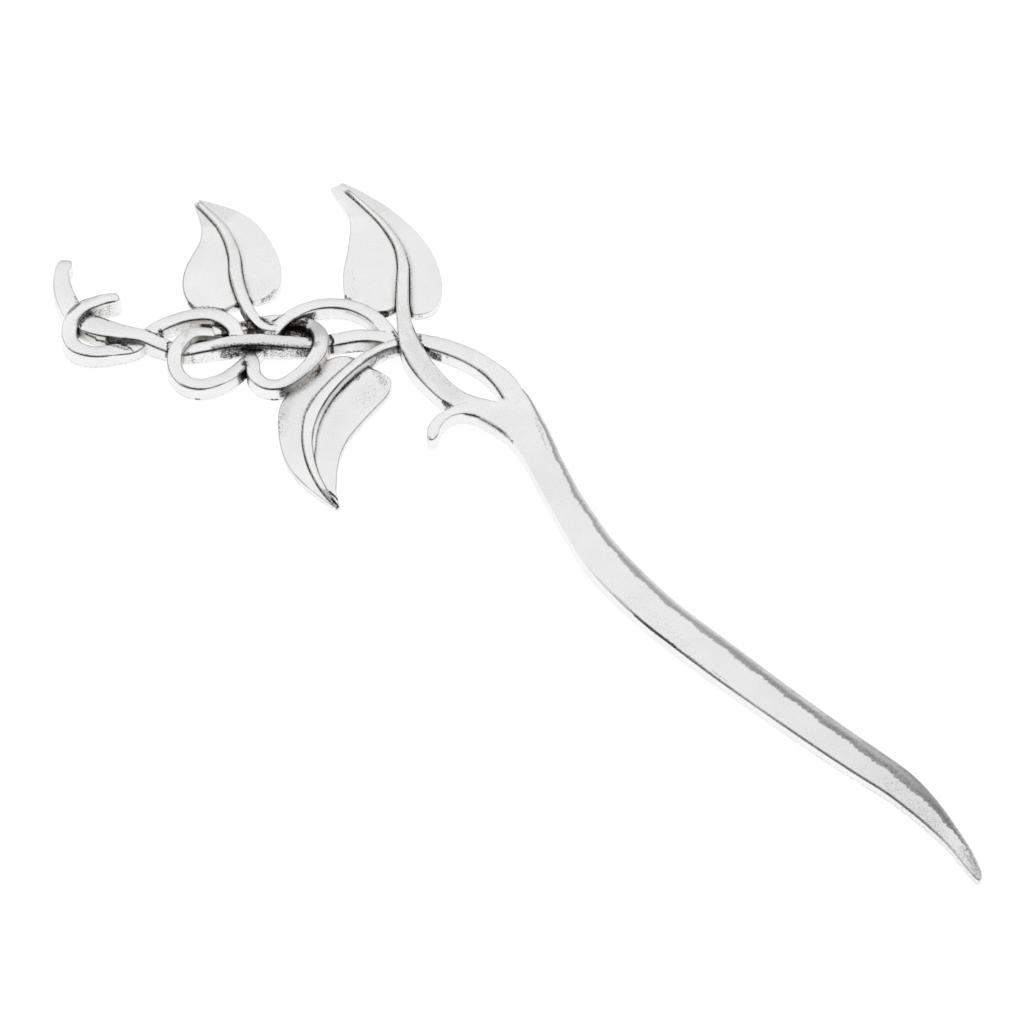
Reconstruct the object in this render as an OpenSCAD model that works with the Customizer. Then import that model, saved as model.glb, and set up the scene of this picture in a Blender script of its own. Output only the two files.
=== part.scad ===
// Cast metal hair stick: one flat-backed casting with a leafy, interlaced head.
// +X runs from the head to the tip, +Y across the stick, +Z up from the flat back.

/* [Stick] */
// Length over all, from the end tendril to the tip of the shaft
stick_length = 173; // [150:1:190]
// Height of the shaft where it leaves the head
shaft_height = 2.05; // [1.8:0.05:2.6]
// Height of the shaft at its tip
tip_height = 1.1; // [0.9:0.1:1.6]
// How far the rounded far side of the shaft drops below its flat top
far_drop = 1; // [0.6:0.1:1]

/* [Vines] */
// Width of a plain stretch of vine
vine_width = 2.2; // [1.8:0.1:2.4]
// Height of a plain stretch of vine above the flat back
vine_height = 2.3; // [2:0.1:2.8]
// Chamfer along the upper edges of the vines
vine_chamfer = 0.25; // [0.1:0.05:0.3]

/* [Leaves] */
// Height of a leaf blade at its edge
blade_height = 1.15; // [0.9:0.05:1.4]
// How much a blade swells above its edge
blade_swell = 0.12; // [0.08:0.02:0.3]

/* [Smoothness] */
// Steps from one row of a vine table to the next
vine_steps = 4; // [2:1:5]
// Steps from one row of a leaf table to the next
leaf_steps = 3; // [1:1:4]

/* [Hidden] */

// The tables are drawn for this length, about a point on the shaft's upper part
drawn_length = 172.65;
size = stick_length / drawn_length;
// Middle of the drawn outline, which goes to the origin
drawn_middle = [4.295, 6.03];
// Steps from one row of the shaft table to the next
shaft_steps = 2;
// Thickness of the slices that the shaft is hulled between
slice = 0.02;
// Rounding of the shaft's near upper edge
near_round = 0.2;
// Upright foot of the shaft's far side, and how far its lower edge is cut under
foot_height = 0.3;
undercut = 0.2;
// The far side starts down gently, to this share of its width and of its drop
knee = [0.7, 0.54];
// Most that the far side drops, as a share of its width and of the shaft's height
steepest = 0.6;
// Least share of a vine's half width that stays flat on top
least_flat = 0.1;
// A blade keeps this share of its height where it has no width, and gains the
// rest at this share a millimetre
narrow_height = 0.55;
height_gain = 0.07;

// Columns of the vine tables. Width and height are shares of a plain vine's,
// so more than 1 is high where a vine passes over and less where it dips under.
VX = 0;
VY = 1;
WIDE = 2;
HIGH = 3;

// From the blunt end tendril, under the curl, through both loops to the crossing
core_vine = [
    [-81.5,  -7.6, 0.20, 0.80],
    [-81.4,  -7.8, 0.56, 0.90],
    [-81.2,  -8.1, 0.85, 0.95],
    [-80.9,  -8.7, 1.02, 0.98],
    [-80.2, -10.0, 0.98, 1.00],
    [-78.2, -11.9, 1.28, 1.00],
    [-75.7, -13.5, 1.40, 1.00],
    [-72.4, -14.8, 1.55, 0.90],
    [-68.9, -14.6, 1.70, 1.00],
    [-65.4, -13.4, 1.45, 1.10],
    [-62.0, -11.8, 1.10, 1.15],
    [-58.8, -10.8, 1.05, 1.00],
    [-56.0,  -9.6, 1.00, 0.85],
    [-53.8,  -7.2, 1.00, 1.00],
    [-51.0,  -3.8, 1.05, 1.20],
    [-48.0,  -0.9, 1.15, 1.25],
    [-45.0,   1.7, 1.15, 1.10],
    [-42.5,   4.2, 1.10, 0.90],
    [-40.5,   7.0, 1.10, 0.90],
    [-38.5,   9.5, 1.15, 1.00],
    [-36.0,  11.5, 1.15, 1.00],
    [-33.0,  13.2, 1.15, 0.85],
];

// The open curl that crosses over the core vine and comes back under it
curl = [
    [-69.6,  -8.4, 0.20, 1.20],
    [-69.7,  -8.6, 0.52, 1.30],
    [-69.9,  -8.9, 0.75, 1.35],
    [-70.2,  -9.4, 0.88, 1.36],
    [-71.2, -10.9, 0.98, 1.35],
    [-72.2, -13.8, 1.05, 1.30],
    [-71.7, -16.3, 1.05, 1.20],
    [-70.0, -18.6, 1.05, 1.10],
    [-67.5, -19.6, 1.05, 1.10],
    [-65.0, -18.6, 1.00, 1.05],
    [-63.3, -16.4, 1.05, 0.95],
    [-62.0, -13.6, 1.35, 0.82],
    [-61.9, -10.4, 1.00, 0.95],
];

// The arch over the first loop, on from the curl to where it dips under the core
first_arch = [
    [-61.9, -10.8, 1.00, 0.95],
    [-61.3,  -7.4, 1.05, 1.00],
    [-59.9,  -4.1, 1.05, 1.00],
    [-57.4,  -1.7, 1.10, 1.05],
    [-54.3,  -1.2, 1.10, 1.05],
    [-51.6,  -2.2, 1.00, 0.90],
    [-48.6,  -3.4, 1.00, 0.80],
];

// The second loop, over the core vine on its right and out under the second arch
second_loop = [
    [-48.6,  -3.4, 1.00, 0.80],
    [-46.4,  -4.6, 0.95, 0.95],
    [-44.4,  -6.2, 0.95, 1.00],
    [-42.0,  -6.5, 0.95, 1.00],
    [-40.2,  -5.1, 0.95, 1.05],
    [-39.6,  -2.4, 0.92, 1.10],
    [-39.7,   0.6, 0.98, 1.20],
    [-40.4,   3.2, 1.10, 1.25],
    [-42.0,   5.3, 1.06, 1.20],
    [-44.1,   6.5, 0.96, 1.00],
    [-46.5,   6.6, 0.90, 0.80],
    [-49.3,   4.9, 1.05, 0.75],
    [-51.6,   2.2, 1.05, 0.75],
    [-53.2,  -0.8, 0.90, 0.80],
    [-55.0,  -3.8, 0.90, 0.95],
];

// The first loop, over the core vine on its left and back under it on its right
first_loop = [
    [-53.6,  -2.2, 0.90, 0.60],
    [-55.2,  -4.2, 0.90, 0.92],
    [-56.6,  -6.2, 0.95, 1.15],
    [-56.7,  -8.6, 1.00, 1.20],
    [-55.8, -11.0, 1.00, 1.15],
    [-53.8, -13.0, 1.00, 1.05],
    [-51.2, -13.8, 1.00, 1.00],
    [-48.8, -12.8, 1.00, 1.00],
    [-47.4, -10.2, 0.95, 1.00],
    [-47.2,  -6.8, 0.95, 0.90],
    [-47.8,  -2.6, 0.95, 0.80],
    [-48.4,   1.4, 0.90, 0.90],
];

// The second arch, from under the core vine to the crossing
second_arch = [
    [-48.4,   1.0, 0.90, 0.90],
    [-48.8,   4.4, 0.85, 1.00],
    [-48.3,   7.8, 0.90, 1.05],
    [-46.7,  10.8, 0.95, 1.05],
    [-44.0,  13.1, 1.00, 1.00],
    [-40.5,  13.9, 1.00, 1.00],
    [-37.0,  13.4, 1.00, 1.00],
    [-34.0,  12.4, 1.00, 0.90],
];

// The low web that closes the gap between the second arch, the second loop and the core
low_web = [
    [-48.6,   2.9, 1.00, 0.35],
    [-47.5,   4.2, 1.20, 0.35],
    [-46.2,   5.2, 1.30, 0.35],
    [-44.4,   6.2, 1.20, 0.35],
];

// The branch on top of the crossing, which is the second leaf's midrib above it
front_branch = [
    [-61.2,  31.3, 0.20, 0.60],
    [-56.4,  30.5, 0.33, 0.68],
    [-51.7,  29.4, 0.42, 0.75],
    [-47.4,  27.6, 0.50, 0.85],
    [-43.9,  25.0, 0.68, 0.94],
    [-40.9,  21.7, 0.80, 1.00],
    [-37.7,  18.2, 0.88, 1.03],
    [-34.3,  15.1, 1.08, 1.15],
    [-30.9,  12.7, 1.46, 1.22],
    [-27.4,  11.1, 1.56, 1.12],
    [-23.5,  10.1, 1.54, 1.00],
    [-19.8,   9.8, 1.56, 0.92],
    [-16.0,  10.8, 1.60, 0.89],
    [-12.5,  12.4, 1.60, 0.89],
];

// The branch behind it, out of the crossing and over the eye
back_branch = [
    [-34.5,  12.4, 1.10, 0.85],
    [-32.3,  14.5, 1.20, 0.85],
    [-29.0,  16.0, 1.30, 0.92],
    [-25.0,  17.1, 1.35, 0.96],
    [-20.5,  17.5, 1.40, 0.94],
    [-16.4,  16.9, 1.60, 0.90],
    [-12.4,  15.0, 1.45, 0.89],
];

// The small hooked tendril at the fork of the two branches
hook = [
    [-16.7,   1.2, 0.18, 0.94],
    [-16.9,   1.6, 0.52, 0.95],
    [-17.3,   2.3, 0.76, 0.96],
    [-18.0,   3.4, 0.80, 0.98],
    [-18.4,   5.3, 0.72, 1.00],
    [-18.1,   7.3, 0.72, 0.98],
    [-17.0,   9.3, 1.10, 0.92],
    [-14.0,  11.2, 1.60, 0.89],
];

// Midribs of the first and the third leaf, each with its stem
first_rib = [
    [-76.0,  14.5, 0.35, 0.60],
    [-73.0,  13.9, 0.45, 0.70],
    [-69.6,  13.0, 0.58, 0.80],
    [-66.5,  11.5, 0.66, 0.88],
    [-63.6,   9.5, 0.74, 0.93],
    [-61.1,   7.2, 0.82, 0.96],
    [-58.4,   5.2, 0.80, 0.97],
    [-55.4,   3.4, 0.75, 0.97],
    [-52.5,   2.2, 0.70, 0.98],
    [-50.2,   1.8, 0.72, 1.00],
    [-48.4,   2.6, 0.75, 1.00],
];
third_rib = [
    [-33.4,  12.4, 0.75, 0.98],
    [-34.5,   9.6, 0.70, 0.98],
    [-35.0,   6.5, 0.66, 0.98],
    [-35.0,   3.2, 0.62, 0.97],
    [-34.7,  -0.2, 0.68, 0.96],
    [-34.0,  -3.5, 0.78, 0.94],
    [-32.7,  -6.7, 0.78, 0.92],
    [-30.7,  -9.6, 0.66, 0.88],
    [-28.0, -12.1, 0.54, 0.82],
    [-25.0, -14.1, 0.42, 0.74],
    [-22.0, -15.4, 0.32, 0.62],
    [-18.8, -16.2, 0.20, 0.45],
];

// Columns of the leaf tables: the blade's edge on the right hand on the way from
// its tip to its base, the midrib and the edge on the left hand
RIGHT_X = 0;
RIGHT_Y = 1;
RIB_X = 2;
RIB_Y = 3;
LEFT_X = 4;
LEFT_Y = 5;

first_leaf = [
    [-76.7, 14.3, -76.4, 14.8, -76.6, 15.4],
    [-74.2, 12.7, -73.0, 13.8, -73.6, 16.4],
    [-71.8, 10.9, -69.9, 12.8, -70.0, 17.2],
    [-70.1,  8.7, -67.2, 11.7, -66.4, 17.1],
    [-69.0,  6.0, -64.6, 10.1, -62.6, 15.9],
    [-67.7,  3.2, -62.2,  8.2, -59.2, 14.2],
    [-65.7,  0.6, -60.2,  6.3, -56.4, 12.0],
    [-63.1, -1.1, -58.6,  5.0, -54.6,  9.6],
    [-60.5, -1.7, -57.6,  4.3, -54.4,  7.4],
    [-58.4, -0.6, -57.0,  3.9, -55.1,  5.6],
    [-57.2,  1.2, -56.6,  3.6, -56.2,  4.6],
];
second_leaf = [
    [-63.5, 30.3, -63.0, 31.3, -63.0, 32.3],
    [-60.8, 29.2, -60.0, 30.9, -60.0, 32.7],
    [-58.0, 28.0, -56.5, 30.2, -55.5, 32.8],
    [-55.8, 26.3, -52.8, 29.3, -51.0, 32.4],
    [-53.8, 23.9, -49.8, 28.3, -46.9, 31.6],
    [-52.0, 21.5, -47.0, 27.0, -43.2, 30.3],
    [-50.3, 19.0, -44.4, 25.3, -39.8, 28.3],
    [-48.3, 16.7, -42.1, 23.3, -37.0, 26.0],
    [-45.7, 14.5, -40.6, 21.6, -35.1, 23.4],
    [-42.6, 13.6, -39.5, 20.4, -34.6, 21.0],
    [-40.2, 15.0, -38.9, 19.7, -35.6, 19.2],
    [-39.2, 17.0, -38.3, 19.1, -37.2, 18.4],
];
third_leaf = [
    [-18.5, -15.9, -18.7, -16.2, -18.9, -16.4],
    [-19.8, -15.0, -20.4, -15.9, -20.8, -16.6],
    [-20.9, -14.1, -22.8, -15.3, -24.9, -16.4],
    [-22.2, -12.6, -25.6, -13.9, -28.9, -15.4],
    [-23.8, -10.7, -28.3, -11.9, -32.4, -13.4],
    [-25.3,  -8.3, -30.7,  -9.5, -35.5, -10.7],
    [-26.4,  -5.6, -32.4,  -6.9, -37.8,  -8.0],
    [-27.1,  -2.2, -33.7,  -4.0, -39.0,  -5.0],
    [-27.6,   1.4, -34.4,  -1.0, -39.5,  -1.5],
    [-28.1,   4.6, -34.9,   2.2, -39.5,   2.0],
    [-29.6,   6.8, -35.0,   4.6, -38.8,   4.8],
    [-32.0,   7.0, -35.0,   6.0, -37.2,   6.4],
    [-33.8,   6.9, -35.0,   6.9, -35.8,   6.9],
];

// Columns of the shaft table: place along it, its far edge, the crest where the
// flat top ends, its near edge, and its height's share of the way to the tip's
SX = 0;
FAR = 1;
CREST = 2;
NEAR = 3;
THIN = 4;

shaft_rows = [
    [-14.4, 17.9, 17.5,  9.0, 0.00],
    [-12.0, 17.4, 16.7,  9.2, 0.00],
    [ -9.0, 16.1, 15.1,  9.1, 0.00],
    [ -5.0, 14.0, 12.9,  7.8, 0.00],
    [  0.0, 11.2,  9.9,  5.4, 0.05],
    [  5.0,  8.7,  7.2,  2.9, 0.08],
    [ 10.0,  6.6,  5.0,  0.5, 0.10],
    [ 15.0,  4.8,  3.1, -1.7, 0.12],
    [ 20.0,  3.6,  1.7, -3.1, 0.15],
    [ 25.0,  2.6,  0.7, -4.0, 0.18],
    [ 30.0,  1.9,  0.0, -4.7, 0.20],
    [ 40.0,  1.3, -0.8, -5.4, 0.25],
    [ 50.0,  0.7, -1.5, -5.7, 0.32],
    [ 60.0,  0.3, -2.1, -5.8, 0.40],
    [ 67.0,  0.2, -2.4, -5.7, 0.50],
    [ 72.0,  0.0, -2.7, -5.5, 0.58],
    [ 76.0, -0.8, -3.1, -5.7, 0.66],
    [ 80.0, -2.1, -3.8, -6.1, 0.76],
    [ 84.0, -3.8, -4.9, -6.8, 0.86],
    [ 87.5, -5.5, -6.3, -7.9, 0.94],
    [ 89.6, -6.9, -7.4, -8.5, 0.98],
    [ 90.3, -7.6, -7.9, -8.6, 1.00],
    [ 90.6, -8.0, -8.1, -8.5, 1.00],
];

// One column of a table's row, worked out on a smooth curve through four rows
function smooth(a, b, c, d, t) =
    0.5 * (2 * b + (c - a) * t + (2 * a - 5 * b + 4 * c - d) * t * t
           + (3 * b - a - 3 * c + d) * t * t * t);

function row(table, i) = table[max(0, min(len(table) - 1, i))];

// Every row of a table, with steps more on the smooth curve between each two
function refine(table, steps) = [
    for (i = [0 : len(table) - 2], s = [0 : steps - 1])
        smooth(row(table, i - 1), row(table, i), row(table, i + 1), row(table, i + 2), s / steps),
    table[len(table) - 1]
];

// A drawn place at the stick's real size, about the middle of its outline
function place(x, y) = [(x - drawn_middle.x) * size, (y - drawn_middle.y) * size];
function lifted(p, z) = [p.x, p.y, z];

function unit(v) = v / norm(v);

// The way across a vine at row i, from the rows before and after it
function across(rows, i) =
    let (a = row(rows, i - 1), b = row(rows, i + 1), way = unit([b[VX] - a[VX], b[VY] - a[VY]]))
    [-way.y, way.x];

// Six corners of a vine's section: flat back, upright sides, chamfered top
function vine_section(rows, i) =
    let (
        r = rows[i],
        middle = place(r[VX], r[VY]),
        side = across(rows, i) * r[WIDE] * vine_width / 2,
        crown = side * max(least_flat, 1 - vine_chamfer / norm(side)),
        top = r[HIGH] * vine_height
    )
    [
        lifted(middle - side, 0),
        lifted(middle - side, top - vine_chamfer),
        lifted(middle - crown, top),
        lifted(middle + crown, top),
        lifted(middle + side, top - vine_chamfer),
        lifted(middle + side, 0)
    ];

// Sections as one closed skin, each a ring of corners in the same order
module skin(sections) {
    corners = len(sections[0]);
    last = len(sections) - 1;
    polyhedron(
        points = [for (section = sections) each section],
        faces = [
            [for (k = [corners - 1 : -1 : 0]) k],
            [for (k = [0 : corners - 1]) last * corners + k],
            for (i = [0 : last - 1], k = [0 : corners - 1])
                let (a = i * corners + k, b = i * corners + (k + 1) % corners)
                each [[a, b, b + corners], [a, b + corners, a + corners]]
        ]
    );
}

module vine(table) {
    rows = refine(table, vine_steps);
    skin([for (i = [0 : len(rows) - 1]) vine_section(rows, i)]);
}

// Columns of a blade's profile from its edge in to the midrib: the share of the
// way in, and the shares of the blade's height and of its swell reached there
IN = 0;
RISE = 1;
SWELL = 2;

blade_profile = [
    [0.00, 0.75, 0],
    [0.12, 1.00, 0],
    [0.50, 1.00, 1],
];

function blade_point(edge, rib, p, full) =
    lifted(edge + (rib - edge) * p[IN], (blade_height * p[RISE] + blade_swell * p[SWELL]) * full);

// Corners across a blade: the flat back, then over the top from edge to edge.
// A blade is full over most of its length, and thins towards its narrow ends.
function blade_section(r) =
    let (
        right = place(r[RIGHT_X], r[RIGHT_Y]),
        rib = place(r[RIB_X], r[RIB_Y]),
        left = place(r[LEFT_X], r[LEFT_Y]),
        full = min(1, narrow_height + norm(right - left) * height_gain),
        inner = len(blade_profile) - 1
    )
    [
        lifted(rib, 0),
        lifted(right, 0),
        for (i = [0 : inner]) blade_point(right, rib, blade_profile[i], full),
        lifted(rib, (blade_height + blade_swell) * full),
        for (i = [inner : -1 : 0]) blade_point(left, rib, blade_profile[i], full),
        lifted(left, 0)
    ];

module leaf(table) {
    skin([for (r = refine(table, leaf_steps)) blade_section(r)]);
}

// Outline of the shaft across its length: y to the right, z up
function shaft_outline(r) =
    let (
        top = shaft_height + (tip_height - shaft_height) * min(1, r[THIN]),
        width = r[FAR] - r[CREST],
        drop = min(far_drop, width * steepest, top * steepest),
        rounding = min(near_round, (r[CREST] - r[NEAR]) / 3)
    )
    [
        [r[NEAR], 0],
        [r[NEAR], top - rounding],
        [r[NEAR] + rounding, top],
        [r[CREST], top],
        [r[CREST] + width * knee.x, top - drop * knee.y],
        [r[FAR], top - drop],
        [r[FAR], foot_height],
        [r[FAR] - undercut, 0]
    ];

module shaft_slice(r) {
    outline = [for (p = shaft_outline(r)) [(p.x - drawn_middle.y) * size, p.y]];
    translate([(r[SX] - drawn_middle.x) * size, 0, 0])
        rotate([90, 0, 90])
            linear_extrude(slice)
                polygon(outline);
}

module shaft() {
    rows = refine(shaft_rows, shaft_steps);
    for (i = [0 : len(rows) - 2])
        hull() {
            shaft_slice(rows[i]);
            shaft_slice(rows[i + 1]);
        }
}

module branches() {
    vine(front_branch);
    vine(back_branch);
    vine(hook);
}

module knot() {
    vine(core_vine);
    vine(curl);
    vine(first_arch);
    vine(first_loop);
    vine(second_loop);
    vine(second_arch);
    vine(low_web);
}

module leaves() {
    leaf(first_leaf);
    vine(first_rib);
    leaf(second_leaf);
    leaf(third_leaf);
    vine(third_rib);
}

module hair_stick() {
    color("silver")
        union() {
            shaft();
            branches();
            knot();
            leaves();
        }
}

hair_stick();
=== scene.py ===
import math

import bmesh
import bpy
import numpy as np
from mathutils import Matrix, Vector
from mathutils.bvhtree import BVHTree


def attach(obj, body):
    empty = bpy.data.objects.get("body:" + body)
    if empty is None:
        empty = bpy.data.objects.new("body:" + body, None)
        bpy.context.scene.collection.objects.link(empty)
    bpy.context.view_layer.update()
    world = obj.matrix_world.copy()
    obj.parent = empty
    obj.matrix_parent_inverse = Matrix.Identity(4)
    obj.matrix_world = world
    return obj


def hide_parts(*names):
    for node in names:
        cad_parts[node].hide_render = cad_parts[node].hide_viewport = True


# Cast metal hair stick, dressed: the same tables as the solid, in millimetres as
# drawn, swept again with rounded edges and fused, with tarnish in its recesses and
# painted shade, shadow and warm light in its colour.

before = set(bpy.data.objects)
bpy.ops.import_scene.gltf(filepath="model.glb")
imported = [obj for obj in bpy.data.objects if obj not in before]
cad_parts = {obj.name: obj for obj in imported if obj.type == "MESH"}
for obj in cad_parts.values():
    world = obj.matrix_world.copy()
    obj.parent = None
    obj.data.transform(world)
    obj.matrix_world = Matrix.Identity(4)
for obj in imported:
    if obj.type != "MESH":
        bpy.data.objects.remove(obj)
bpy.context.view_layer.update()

# Measures, mm. Places are drawn for DRAWN_LENGTH, and SIZE brings them to the real size
STICK_LENGTH = 173.0
DRAWN_LENGTH = 172.65
SIZE = STICK_LENGTH / DRAWN_LENGTH
# Middle of the drawn outline, which goes to the origin
DRAWN_MIDDLE = (4.295, 6.03)

SHAFT_HEIGHT = 2.05
TIP_HEIGHT = 1.1
FAR_DROP = 1.0
# Most that the shaft's far side drops, as a share of its width and of the shaft's height
STEEPEST = 0.6
# Upright foot of the far side, and how far its lower edge is cut under
FOOT_HEIGHT = 0.3
UNDERCUT = 0.2

VINE_WIDTH = 2.2
VINE_HEIGHT = 2.3
BLADE_EDGE = 1.15
BLADE_SWELL = 0.12
# A blade's share of its height where it has no width, and what it gains a millimetre
NARROW_HEIGHT = 0.55
HEIGHT_GAIN = 0.07
RIM_DROP = 0.15
GROOVE_DEPTH = 0.10
GROOVE_REACH = 0.16

EDGE_RADIUS = 0.42
CROWN = 0.04
# How far the sides and the tops of the vines waver
WAVER = 0.02
# Distance from ring to ring along the vines and along the blades
STATION = 0.22
BLADE_STATION = 0.3
# Steps up a vine's wall and round its upper edge
WALL_STEPS = 8
ROUND_STEPS = 6
# Steps from row to row of a table where places are only measured against it
COARSE_STEPS = 8
# A ledge along one side of a midrib: how far it sticks out and lies below the top
LEDGE_WIDTH = 0.55
LEDGE_DROP = 0.28

# How close points are welded, in metres, and how far edges turn that stay sharp
WELD_REACH = 5e-8
SHARP_ANGLE = math.radians(34)

# Vines
# Columns: x, y, width and height, both as shares of a plain vine's
CORE_VINE = [
    (-81.5, -7.6, 0.20, 0.80), (-81.4, -7.8, 0.56, 0.90), (-81.2, -8.1, 0.85, 0.95),
    (-80.9, -8.7, 1.02, 0.98), (-80.2, -10.0, 0.98, 1.00), (-78.2, -11.9, 1.28, 1.00),
    (-75.7, -13.5, 1.40, 1.00), (-72.4, -14.8, 1.55, 0.90), (-68.9, -14.6, 1.70, 1.00),
    (-65.4, -13.4, 1.45, 1.10), (-62.0, -11.8, 1.10, 1.15), (-58.8, -10.8, 1.05, 1.00),
    (-56.0, -9.6, 1.00, 0.85), (-53.8, -7.2, 1.00, 1.00), (-51.0, -3.8, 1.05, 1.20),
    (-48.0, -0.9, 1.15, 1.25), (-45.0, 1.7, 1.15, 1.10), (-42.5, 4.2, 1.10, 0.90),
    (-40.5, 7.0, 1.10, 0.90), (-38.5, 9.5, 1.15, 1.00), (-36.0, 11.5, 1.15, 1.00),
    (-33.0, 13.2, 1.15, 0.85),
]
CURL = [
    (-69.6, -8.4, 0.20, 1.20), (-69.7, -8.6, 0.52, 1.30), (-69.9, -8.9, 0.75, 1.35),
    (-70.2, -9.4, 0.88, 1.36), (-71.2, -10.9, 0.98, 1.35), (-72.2, -13.8, 1.05, 1.30),
    (-71.7, -16.3, 1.05, 1.20), (-70.0, -18.6, 1.05, 1.10), (-67.5, -19.6, 1.05, 1.10),
    (-65.0, -18.6, 1.00, 1.05), (-63.3, -16.4, 1.05, 0.95), (-62.0, -13.6, 1.35, 0.82),
    (-61.9, -10.4, 1.00, 0.95),
]
FIRST_ARCH = [
    (-61.9, -10.8, 1.00, 0.95), (-61.3, -7.4, 1.05, 1.00), (-59.9, -4.1, 1.05, 1.00),
    (-57.4, -1.7, 1.10, 1.05), (-54.3, -1.2, 1.10, 1.05), (-51.6, -2.2, 1.00, 0.90),
    (-48.6, -3.4, 1.00, 0.80),
]
SECOND_LOOP = [
    (-48.6, -3.4, 1.00, 0.80), (-46.4, -4.6, 0.95, 0.95), (-44.4, -6.2, 0.95, 1.00),
    (-42.0, -6.5, 0.95, 1.00), (-40.2, -5.1, 0.95, 1.05), (-39.6, -2.4, 0.92, 1.10),
    (-39.7, 0.6, 0.98, 1.20), (-40.4, 3.2, 1.10, 1.25), (-42.0, 5.3, 1.06, 1.20),
    (-44.1, 6.5, 0.96, 1.00), (-46.5, 6.6, 0.90, 0.80), (-49.3, 4.9, 1.05, 0.75),
    (-51.6, 2.2, 1.05, 0.75), (-53.2, -0.8, 0.90, 0.80), (-55.0, -3.8, 0.90, 0.95),
]
FIRST_LOOP = [
    (-53.6, -2.2, 0.90, 0.60), (-55.2, -4.2, 0.90, 0.92), (-56.6, -6.2, 0.95, 1.15),
    (-56.7, -8.6, 1.00, 1.20), (-55.8, -11.0, 1.00, 1.15), (-53.8, -13.0, 1.00, 1.05),
    (-51.2, -13.8, 1.00, 1.00), (-48.8, -12.8, 1.00, 1.00), (-47.4, -10.2, 0.95, 1.00),
    (-47.2, -6.8, 0.95, 0.90), (-47.8, -2.6, 0.95, 0.80), (-48.4, 1.4, 0.90, 0.90),
]
SECOND_ARCH = [
    (-48.4, 1.0, 0.90, 0.90), (-48.8, 4.4, 0.85, 1.00), (-48.3, 7.8, 0.90, 1.05),
    (-46.7, 10.8, 0.95, 1.05), (-44.0, 13.1, 1.00, 1.00), (-40.5, 13.9, 1.00, 1.00),
    (-37.0, 13.4, 1.00, 1.00), (-34.0, 12.4, 1.00, 0.90),
]
LOW_WEB = [
    (-48.6, 2.9, 1.00, 0.35), (-47.5, 4.2, 1.20, 0.35), (-46.2, 5.2, 1.30, 0.35),
    (-44.4, 6.2, 1.20, 0.35),
]
FRONT_BRANCH = [
    (-61.2, 31.3, 0.20, 0.60), (-56.4, 30.5, 0.33, 0.68), (-51.7, 29.4, 0.42, 0.75),
    (-47.4, 27.6, 0.50, 0.85), (-43.9, 25.0, 0.68, 0.94), (-40.9, 21.7, 0.80, 1.00),
    (-37.7, 18.2, 0.88, 1.03), (-34.3, 15.1, 1.08, 1.15), (-30.9, 12.7, 1.46, 1.22),
    (-27.4, 11.1, 1.56, 1.12), (-23.5, 10.1, 1.54, 1.00), (-19.8, 9.8, 1.56, 0.92),
    (-16.0, 10.8, 1.60, 0.89), (-12.5, 12.4, 1.60, 0.89),
]
BACK_BRANCH = [
    (-34.5, 12.4, 1.10, 0.85), (-32.3, 14.5, 1.20, 0.85), (-29.0, 16.0, 1.30, 0.92),
    (-25.0, 17.1, 1.35, 0.96), (-20.5, 17.5, 1.40, 0.94), (-16.4, 16.9, 1.60, 0.90),
    (-12.4, 15.0, 1.45, 0.89),
]
HOOK = [
    (-16.7, 1.2, 0.18, 0.94), (-16.9, 1.6, 0.52, 0.95), (-17.3, 2.3, 0.76, 0.96),
    (-18.0, 3.4, 0.80, 0.98), (-18.4, 5.3, 0.72, 1.00), (-18.1, 7.3, 0.72, 0.98),
    (-17.0, 9.3, 1.10, 0.92), (-14.0, 11.2, 1.60, 0.89),
]
FIRST_RIB = [
    (-76.0, 14.5, 0.35, 0.60), (-73.0, 13.9, 0.45, 0.70), (-69.6, 13.0, 0.58, 0.80),
    (-66.5, 11.5, 0.66, 0.88), (-63.6, 9.5, 0.74, 0.93), (-61.1, 7.2, 0.82, 0.96),
    (-58.4, 5.2, 0.80, 0.97), (-55.4, 3.4, 0.75, 0.97), (-52.5, 2.2, 0.70, 0.98),
    (-50.2, 1.8, 0.72, 1.00), (-48.4, 2.6, 0.75, 1.00),
]
THIRD_RIB = [
    (-33.4, 12.4, 0.75, 0.98), (-34.5, 9.6, 0.70, 0.98), (-35.0, 6.5, 0.66, 0.98),
    (-35.0, 3.2, 0.62, 0.97), (-34.7, -0.2, 0.68, 0.96), (-34.0, -3.5, 0.78, 0.94),
    (-32.7, -6.7, 0.78, 0.92), (-30.7, -9.6, 0.66, 0.88), (-28.0, -12.1, 0.54, 0.82),
    (-25.0, -14.1, 0.42, 0.74), (-22.0, -15.4, 0.32, 0.62), (-18.8, -16.2, 0.20, 0.45),
]

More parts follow.
